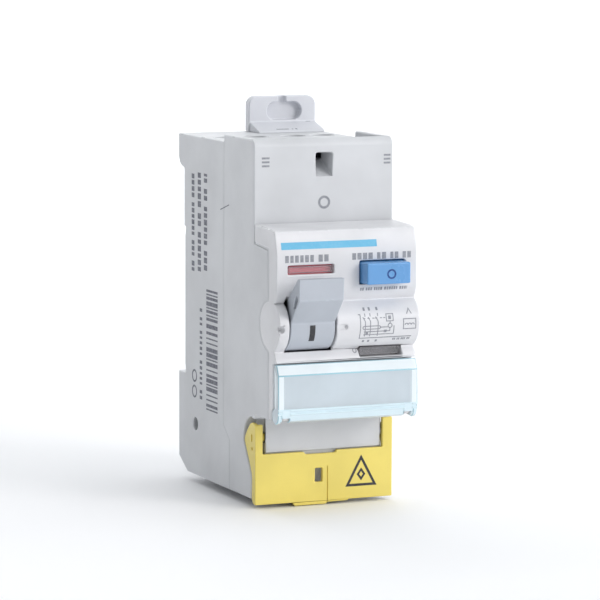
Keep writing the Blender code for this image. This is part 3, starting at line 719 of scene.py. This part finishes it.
def terminal_shutter():
    """The shutter's plate, arms and pivot ears, in one moulding with flush faces."""
    front, back = SHUTTER_FACE, SHUTTER_FACE + 1.2
    left, right = SHUTTER[0]
    lid = box((left, right), (front, back), (-43.1, -31.3), "terminal_shutter_plate")
    for span in ((left, left + 1.9), (right - 2.5, right)):
        fuse(lid, box(span, (front, back), (-32.0, -24.3)))
    ear = [(front, -24.3), (-42.6, -23.95), (-41.6, -24.25), (-40.4, -25.35), (-39.2, -26.6), (-38.5, -27.5)]
    ear += [(-38.2, -28.3), (-38.35, -29.1), (-39.3, -30.6), (-41.2, -33.6), (-42.45, -35.9), (-42.7, -37.2)]
    ear += [(-42.6, -41.9), (-43.2, -42.9), (front, -43.1)]
    for span in ((left, left + 0.75), (right - 0.75, right)):
        fuse(lid, plate("YZ", ear, span))
    for span in ((left + 0.4, left + 4.0), (right - 4.0, right - 0.4)):
        fuse(lid, rod("X", SHUTTER_AXIS, 0.9, span, sides=24))
    lip = [(-8.2, -42.5), (-7.4, -43.9), (0.4, -43.9), (1.0, -43.45), (6.0, -43.4), (6.6, -42.5)]
    fuse(lid, plate("XZ", lip, (front + 0.1, back - 0.1)))
    carve(lid, plate("XZ", [(-5.6, -30.5), (-4.7, -31.9), (2.9, -31.9), (3.8, -30.5)], (-46.0, -43.0)))
    carve(lid, box((-2.3, -0.4), (-46.0, -43.0), (-38.6, -35.3)))
    carve(lid, box((0.65, 0.95), (-46.0, front + 0.25), (-44.5, -34.9)))
    # Pivot slot and catch hole on the ear
    slot = round_box((-42.95, -42.25), (-28.5, -26.7), 0.3, 4)
    carve(lid, plate("YZ", slot, (left - 1, left + 0.35)))
    carve(lid, rod("X", (-42.8, -30.1), 0.45, (left - 1, left + 0.4), sides=20))
    rounded(lid, 0.25, 3)
    place(lid, LID, "yellow", "shutter_body", "terminal_shutter")


def din_clip():
    """The clip's tab with its round-ended tool pocket, the ramp in front of it and the shank."""
    low, high = CLIP[0][0] - 0.4, CLIP[0][1] + 0.15
    top, back = CLIP[2][1], CLIP[1][1]
    corner = 2.2
    outline = [(low, 40.2), (high, 40.2)]
    outline += arc((high - corner, top - corner), corner, 0, 90, 12)
    outline += arc((low + corner, top - corner), corner, 90, 180, 12)
    clip = plate("XZ", outline, (1.7, back), "din_clip_tab")
    carve(clip, plate("XZ", round_box((4.6, 13.7), (42.8, 47.2), 2.15, 12), (1.0, 3.6)))
    carve(clip, box((7.6, 9.6), (1.0, 3.6), (46.4, 50.0)))
    ramp = [RAMP_TOP, RAMP_EDGE, (-4.6, 40.15), (RAMP_TOP[0], 40.15)]
    fuse(clip, plate("YZ", ramp, (low + 0.1, high)))
    fuse(clip, box((3.9, 13.7), (0.9, 4.3), (17.9, 41.0)), box((3.0, 14.6), (0.95, 2.1), (18.4, 40.9)))
    fuse(clip, box((3.95, 13.65), (1.4, 4.25), (16.2, 18.2)))
    rounded(clip, 0.3, 3, keep=lambda edge: max(v.co.z for v in edge.verts) < 40.3 * MM)
    place(clip, TAB, "white", "clip_body", "din_clip")


def label_card():
    card = copy_of("label_card", "label_card_sheet")
    rounded(card, 0.1)
    place(card, TAB, "white", node="label_card")


# ---------------------------------------------------------------- prints


def fascia_depth(z):
    """y of the fascia's front face at a height."""
    if abs(z - AXIS[1]) < 5.6:
        return AXIS[0] - math.sqrt(BARREL ** 2 - (z - AXIS[1]) ** 2)
    profile = [(-8.4, -57.3), (-7.2, -56.9), (-5.86, -55.83), (5.26, -56.23), (6.5, -57.1)]
    profile += [(8.2, -57.6), (16.4, -57.5), (20.3, -56.5), (21.6, -56.0), (22.0, -53.2)]
    for (z0, y0), (z1, y1) in zip(profile, profile[1:]):
        if z0 <= z <= z1:
            return y0 + (y1 - y0) * (z - z0) / (z1 - z0)
    return profile[0][1]


def on_fascia(x, z):
    return Vector((x, fascia_depth(z), z)), Vector((0, -1, 0))


def on_drum(x, z):
    depth = AXIS[0] - math.sqrt(DRUM ** 2 - (z - AXIS[1]) ** 2)
    return Vector((x, depth, z)), Vector((0, -1, 0))


def on_front(depth):
    return lambda x, z: (Vector((x, depth, z)), Vector((0, -1, 0)))


def on_ramp(x, y):
    """A point of the clip's ramp, y counted along the case's depth."""
    rise = (RAMP_TOP[1] - RAMP_EDGE[1]) / (RAMP_TOP[0] - RAMP_EDGE[0])
    return Vector((x, y, RAMP_EDGE[1] + (y - RAMP_EDGE[0]) * rise)), Vector((0, -rise, 1)).normalized()


def on_side(y, z):
    return Vector((SIDE, y, z)), Vector((-1, 0, 0))


def resampled(points, step=0.45):
    """The same line with points no further apart than step."""
    line = [Vector(points[0])]
    for start, end in zip(points, points[1:]):
        start, end = Vector(start), Vector(end)
        count = max(1, math.ceil((end - start).length / step))
        line += [start.lerp(end, i / count) for i in range(1, count + 1)]
    return line


def add_stroke(bm, surface, points, width, closed=False):
    """A closed strip of ink along the points."""
    if closed:
        points = points + [points[0]]
    line = resampled(points)
    if closed:
        line.pop()
    count = len(line)
    rings = []
    for index, here in enumerate(line):
        before = line[index - 1] if closed or index else here
        after = line[(index + 1) % count] if closed or index < count - 1 else here
        first = (here - before).normalized() if before is not here else (after - here).normalized()
        second = (after - here).normalized() if after is not here else first
        across = Vector((-(first + second).y, (first + second).x)).normalized()
        half = width / 2 / max(across.dot(Vector((-first.y, first.x))), 0.5)
        ring = []
        for side, height in ((half, -INK), (-half, -INK), (-half, INK), (half, INK)):
            spot, out = surface(*(here + across * side))
            ring.append(bm.verts.new((spot + out * height) * MM))
        rings.append(ring)
    pairs = list(zip(rings, rings[1:]))
    if closed:
        pairs.append((rings[-1], rings[0]))
    else:
        bm.faces.new(rings[0])
        bm.faces.new(rings[-1][::-1])
    for one, two in pairs:
        for i in range(4):
            j = (i + 1) % 4
            bm.faces.new((one[i], two[i], two[j], one[j]))


def block(u, v):
    """A solid rectangle as one stroke."""
    return [(u[0], sum(v) / 2), (u[1], sum(v) / 2)], v[1] - v[0], False


def ring_stroke(centre, radius, width, steps=28):
    return arc(centre, radius, 0, 360, steps)[:-1], width, True


def greeked(u, v, along="u", cell=0.62, gap=0.24):
    """A row of plain blocks in place of a line of writing."""
    strokes = []
    start, end = u if along == "u" else v
    low, high = v if along == "u" else u
    height = high - low
    at = start
    while at < end - 0.3 * height:
        for _ in range(DICE.randint(2, 6)):
            width = height * cell * DICE.uniform(0.75, 1.15)
            stop = min(at + width, end)
            if stop - at < 0.2 * height:
                break
            if along == "u":
                strokes.append(block((at, stop), (low, high)))
            else:
                strokes.append(block((low, high), (at, stop)))
            at = stop + height * gap
        at += height * 0.5
    return strokes


def bar_block(y, z):
    """A block of bars of random width that run across the print's length."""
    strokes = []
    at = z[0]
    while at < z[1]:
        width = DICE.choice((0.35, 0.35, 0.7, 1.0))
        strokes.append(block(y, (at, min(at + width, z[1]))))
        at += width + DICE.choice((0.35, 0.45, 0.8))
    return strokes


def printed(name, surface, strokes, look, body="root", slot="dark"):
    bm = bmesh.new()
    for points, width, closed in strokes:
        add_stroke(bm, surface, points, width, closed)
    place(finished(bm, name), (look,), slot, body)


def diagram():
    """A plain line drawing of a three-pole switch with a sensing ring, on the barrel."""
    line = 0.2
    strokes = []
    for x in (3.7, 5.0, 6.9):
        strokes.append(([(x, 2.4), (x, 1.7)], line, False))
        strokes.append(([(x - 0.55, 1.6), (x, 0.6), (x, -2.9)], line, False))
        strokes.append(block((x - 0.25, x + 0.25), (3.0, 3.7)))
        strokes.append(block((x - 0.25, x + 0.25), (-4.3, -3.8)))
    strokes.append(([(2.0, 2.2), (2.5, 2.2), (2.5, -3.3), (15.6, -3.3)], line, False))
    for x in (3.2, 4.3, 5.5, 6.2, 7.4, 8.2):
        strokes.append(([(x, 1.3), (x + 0.55, 1.3)], line, False))
    strokes.append(([(9.0, 0.5), (9.0, 2.1), (10.7, 2.1), (10.7, 0.5)], line, True))
    strokes.append(block((9.5, 10.2), (0.9, 1.7)))
    strokes.append(([(9.9, 0.5), (9.9, 0.0)], line, False))
    strokes.append(ring_stroke((9.9, -0.55), 0.5, line, 14))
    strokes.append((round_box((3.1, 7.5), (-1.2, -0.5), 0.34, 3), line, True))
    strokes.append(([(7.5, -0.85), (9.4, -0.85)], line, False))
    strokes.append(([(9.9, -1.1), (9.9, -1.8), (3.4, -1.8)], line, False))
    strokes.append(([(10.9, -0.6), (10.9, -2.5), (3.4, -2.5)], line, False))
    strokes.append(block((3.9, 4.5), (-2.6, -1.9)))
    strokes.append(block((8.4, 9.1), (-2.1, -1.5)))
    strokes += greeked((11.0, 15.4), (-4.1, -3.6))
    strokes.append(([(13.3, -1.5), (13.3, 0.8), (16.4, 0.8), (16.4, -1.5)], line, True))
    for x in (14.05, 14.85, 15.65):
        strokes.append((arc((x, -0.6), 0.36, 0, 180, 6), line, False))
    strokes.append(([(14.2, 1.9), (14.8, 3.1), (15.4, 1.9)], line, False))
    return strokes


def prints():
    """Plain marks in place of the writing, each riding on the body that carries it."""
    stripe = [block((-16.2, 7.5), (17.55, 19.15))]
    printed("fascia_stripe", on_fascia, stripe, CYAN_INK, slot="blue")
    rows = greeked((-15.4, -3.3), (14.6, 16.2)) + greeked((1.2, 16.6), (14.7, 16.2))
    rows += greeked((3.2, 15.0), (7.5, 8.2))
    printed("fascia_rows", on_fascia, rows, GREY_INK)
    printed("wiring_diagram", on_fascia, diagram(), GREY_INK)
    window_mark = [ring_stroke((2.4, -6.4), 0.42, 0.22, 16)]
    printed("fault_window_mark", on_fascia, window_mark, GREY_INK)
    marks = [ring_stroke((0.0, 26.8), 1.25, 0.55)]
    for u in ((-15.6, -13.7), (15.1, 16.8)):
        marks += [block(u, (35.3, 35.75)), block(u, (36.2, 36.65)), block(u, (37.1, 37.55))]
    printed("shoulder_marks", on_front(SHOULDER), marks, GREY_INK)
    bar = [([(-9.25, 0.3), (-9.25, -3.4)], 1.35, False)]
    printed("toggle_on_mark", on_drum, bar, BLACK_INK, "toggle_body")
    key = [ring_stroke((9.4, 11.5), 0.95, 0.4)]
    printed("test_button_mark", on_front(BUTTON[1][0]), key, NAVY_INK, "test_button_body")
    triangle = [([(5.9, -39.9), (9.4, -33.4), (12.9, -39.9)], 0.6, True)]
    triangle.append(([(9.4, -38.5), (10.2, -37.4), (9.4, -36.3), (8.6, -37.4)], 0.5, True))
    printed("shutter_mark", on_front(SHUTTER_FACE), triangle, BLACK_INK, "shutter_body")
    latch = [block((4.9, 8.2), (-3.65, -3.3)), block((9.0, 9.35), (-3.7, -3.3))]
    latch += [block((9.9, 10.4), (-3.8, -3.2)), block((14.7, 15.9), (1.3, 1.5))]
    printed("clip_mark", on_ramp, latch, GREY_INK, "clip_body")
    side = [([(-23.2, 23.85), (-28.6, 25.4)], 0.22, False)]
    for y in ((-6.3, -4.6), (-10.6, -8.6), (-14.6, -12.6)):
        side += greeked(y, (7.0 + DICE.uniform(0, 3), 31.5), "v")
    side += bar_block((-21.4, -14.2), (-25.0, 4.0))
    side += greeked((-11.4, -9.9), (-23.0, -1.0), "v", cell=0.5, gap=0.4)
    for z in (-17.8, -21.6):
        side.append(ring_stroke((-6.4, z), 1.35, 0.45, 24))
    printed("side_print", on_side, side, SIDE_INK)


# ---------------------------------------------------------------- stage


def stage():
    """A pale floor that rises into a backdrop far behind."""
    floor = CAD_BOX[0].z - 0.0002
    behind = 2.6
    bend = 0.8
    side = 3.5
    profile = [(-2.2, floor), (behind - bend, floor)]
    profile += arc((behind - bend, floor + bend), bend, -90, 0, 16)[1:] + [(behind, 2.6)]
    bm = bmesh.new()
    rows = [[bm.verts.new((x, y, z)) for y, z in profile] for x in (-side, side)]
    for i in range(len(profile) - 1):
        bm.faces.new((rows[0][i], rows[0][i + 1], rows[1][i + 1], rows[1][i]))
    sweep = finished(bm, "studio_sweep")
    sweep.data.shade_smooth()
    look = Look("studio paper")
    clouds = look.span(look.noise(3, 2), 0, 1)
    look.drive("Base Color", look.mix(clouds, (0.93, 0.93, 0.94), (0.96, 0.96, 0.97)))
    look.drive("Roughness", look.span(look.noise(9, 2), 0.75, 0.9))
    look.relief(look.noise(700, 2), 0.05, 0.2)
    sweep.data.materials.append(look.material)


def softbox(name, place, aim, size, power, colour=(1, 1, 1)):
    data = bpy.data.lights.new(name, "AREA")
    data.shape = "RECTANGLE"
    data.size, data.size_y = size
    data.energy = power
    data.color = colour
    light = bpy.data.objects.new(name, data)
    bpy.context.scene.collection.objects.link(light)
    light.location = place
    light.rotation_euler = (Vector(aim) - Vector(place)).to_track_quat("-Z", "Y").to_euler()


def lights():
    """A pale studio that is dimmer on the left, a soft key light and a lit backdrop."""
    world = bpy.data.worlds.new("studio")
    bpy.context.scene.world = world
    world.use_nodes = True
    nodes, links = world.node_tree.nodes, world.node_tree.links
    sky = nodes["Background"]
    sky.inputs["Color"].default_value = (0.95, 0.98, 1.0, 1.0)
    direction = nodes.new("ShaderNodeTexCoord").outputs["Generated"]
    parts = nodes.new("ShaderNodeSeparateXYZ")
    links.new(direction, parts.inputs["Vector"])
    level = nodes.new("ShaderNodeMapRange")
    level.inputs["From Min"].default_value = -1.0
    level.inputs["From Max"].default_value = 1.0
    level.inputs["To Min"].default_value = 0.25
    level.inputs["To Max"].default_value = 1.28
    links.new(parts.outputs["X"], level.inputs["Value"])
    links.new(level.outputs["Result"], sky.inputs["Strength"])
    target = (0, -0.03, 0)
    softbox("key", (0.95, -1.35, 0.62), target, (0.7, 0.7), 10.5, (1.0, 0.975, 0.98))
    softbox("top", (0.1, -0.2, 1.4), target, (1.0, 1.0), 2)
    softbox("backdrop", (0, 1.5, 1.5), (0, 2.5, 0.2), (1.6, 0.8), 30)


def camera():
    """A long lens from the front left, a little above."""
    azimuth, elevation, roll = (math.radians(a) for a in (-23.09, 6.91, 0.21))
    level = Vector((math.cos(azimuth), math.sin(azimuth), 0))
    away = Vector((math.sin(azimuth), -math.cos(azimuth), 0))
    back = away * math.cos(elevation) + Vector((0, 0, math.sin(elevation)))
    upright = back.cross(level)
    right = level * math.cos(roll) + upright * math.sin(roll)
    up = upright * math.cos(roll) - level * math.sin(roll)
    data = bpy.data.cameras.new("camera")
    data.sensor_width = 36.0
    data.lens = 200.64
    spot = Vector((-307.23, -750.64, 97.35))
    made = bpy.data.objects.new("camera", data)
    bpy.context.scene.collection.objects.link(made)
    turn = Matrix((right, up, back)).transposed().to_4x4()
    made.matrix_world = Matrix.Translation(spot * MM) @ turn
    bpy.context.scene.camera = made


bpy.context.scene.view_settings.view_transform = "Standard"
camera()
dress_frame()
rear_base()
front_housing()
front_cover()
toggle()
test_button()
windows_and_flags()
label_flap()
label_card()
terminal_shutter()
din_clip()
prints()
stage()
lights()
